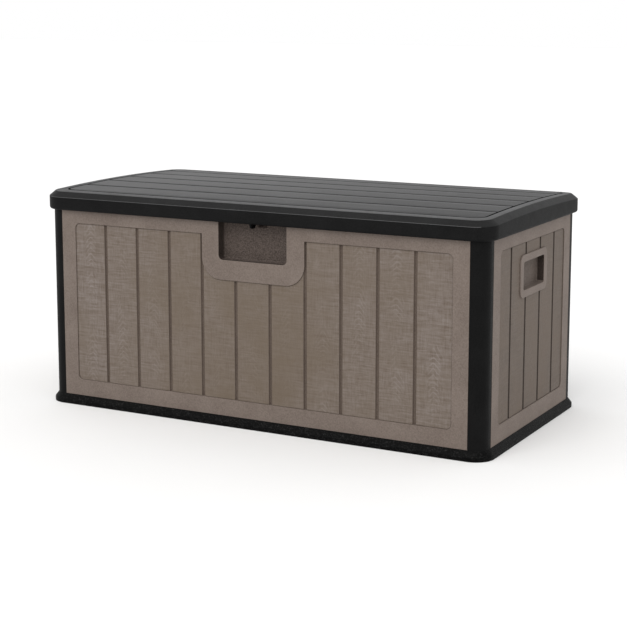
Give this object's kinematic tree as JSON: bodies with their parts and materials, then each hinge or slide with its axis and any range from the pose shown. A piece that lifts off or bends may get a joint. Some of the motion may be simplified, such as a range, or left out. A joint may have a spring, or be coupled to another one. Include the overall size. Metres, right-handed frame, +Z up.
{
  "type": "deck storage box",
  "caption": "Rectangular outdoor storage box with planked resin walls, a crowned hinged lid on gas struts, finger recesses and padlock tabs.",
  "frame": {"origin": "centre of the footprint on the ground", "axes": "+X along the length, to the right seen from the front; -Y is the front; +Z up"},
  "size_m": [1.2928, 0.6558, 0.585],
  "materials": {
    "brown_resin": "matt taupe resin with a moulded wood grain",
    "recess_resin": "coarse matt dark taupe resin",
    "black_resin": "fine-grained matt black resin",
    "lid_resin": "satin charcoal resin with a moulded wood grain",
    "zinc_steel": "zinc plated",
    "strut_paint": "satin black paint",
    "strut_plastic": "satin black nylon",
    "polished_steel": "ground and polished"
  },
  "bodies": {
    "cabinet": {"base_tray": "black_resin", "corner_post_front_left": "black_resin", "corner_post_front_right": "black_resin", "corner_post_rear_left": "black_resin", "corner_post_rear_right": "black_resin", "front_grip_cup": "recess_resin", "front_panel": "brown_resin", "hinge_bracket_centre": "black_resin", "hinge_bracket_left": "black_resin", "hinge_bracket_right": "black_resin", "hinge_pin_centre": "zinc_steel", "hinge_pin_left": "zinc_steel", "hinge_pin_right": "zinc_steel", "left_panel": "brown_resin", "padlock_eye": "black_resin", "rear_panel": "brown_resin", "right_panel": "brown_resin", "side_grip_left": "brown_resin", "side_grip_right": "brown_resin", "strut_wall_plate_left": "zinc_steel", "strut_wall_plate_right": "zinc_steel", "strut_wall_stud_left": "zinc_steel", "strut_wall_stud_right": "zinc_steel"},
    "lid": {"lid_shell": "lid_resin", "lid_liner": "black_resin", "lid_brace_front": "zinc_steel", "lid_brace_rear": "zinc_steel", "padlock_tab": "black_resin", "hinge_lug_left": "black_resin", "hinge_lug_centre": "black_resin", "hinge_lug_right": "black_resin", "strut_lid_bracket_left": "zinc_steel", "strut_lid_stud_left": "zinc_steel", "strut_lid_bracket_right": "zinc_steel", "strut_lid_stud_right": "zinc_steel"},
    "strut_tube_left": {"strut_base_eye_left": "strut_plastic", "strut_tube_left": "strut_paint", "strut_gland_left": "strut_plastic"},
    "strut_rod_left": {"strut_rod_left": "polished_steel", "strut_piston_left": "zinc_steel", "strut_rod_eye_left": "strut_plastic"},
    "strut_tube_right": {"strut_base_eye_right": "strut_plastic", "strut_tube_right": "strut_paint", "strut_gland_right": "strut_plastic"},
    "strut_rod_right": {"strut_rod_right": "polished_steel", "strut_piston_right": "zinc_steel", "strut_rod_eye_right": "strut_plastic"}
  },
  "joints": [
    {"name": "lid_hinge", "type": "hinge", "parent": "cabinet", "child": "lid", "pos_m": [0, 0.3209, 0.5366], "axis": [-1, 0, 0], "range_deg": [0, 95]},
    {"name": "strut_swing_left", "type": "hinge", "parent": "cabinet", "child": "strut_tube_left", "pos_m": [-0.594, 0.18, 0.275], "axis": [-1, 0, 0], "range_deg": [0, 10.7]},
    {"name": "strut_stroke_left", "type": "slide", "parent": "strut_tube_left", "child": "strut_rod_left", "axis": [0, 0.1931, 0.9812], "range_m": [0, 0.1213]},
    {"name": "strut_swing_right", "type": "hinge", "parent": "cabinet", "child": "strut_tube_right", "pos_m": [0.594, 0.18, 0.275], "axis": [-1, 0, 0], "range_deg": [0, 10.7]},
    {"name": "strut_stroke_right", "type": "slide", "parent": "strut_tube_right", "child": "strut_rod_right", "axis": [0, 0.1931, 0.9812], "range_m": [0, 0.1213]}
  ],
  "couplings": [
    {"joint": "strut_swing_left", "follows": "lid_hinge", "ratio": 0.11245},
    {"joint": "strut_stroke_left", "follows": "lid_hinge", "m_per_rad": 0.073077},
    {"joint": "strut_swing_right", "follows": "lid_hinge", "ratio": 0.11245},
    {"joint": "strut_stroke_right", "follows": "lid_hinge", "m_per_rad": 0.073077}
  ]
}
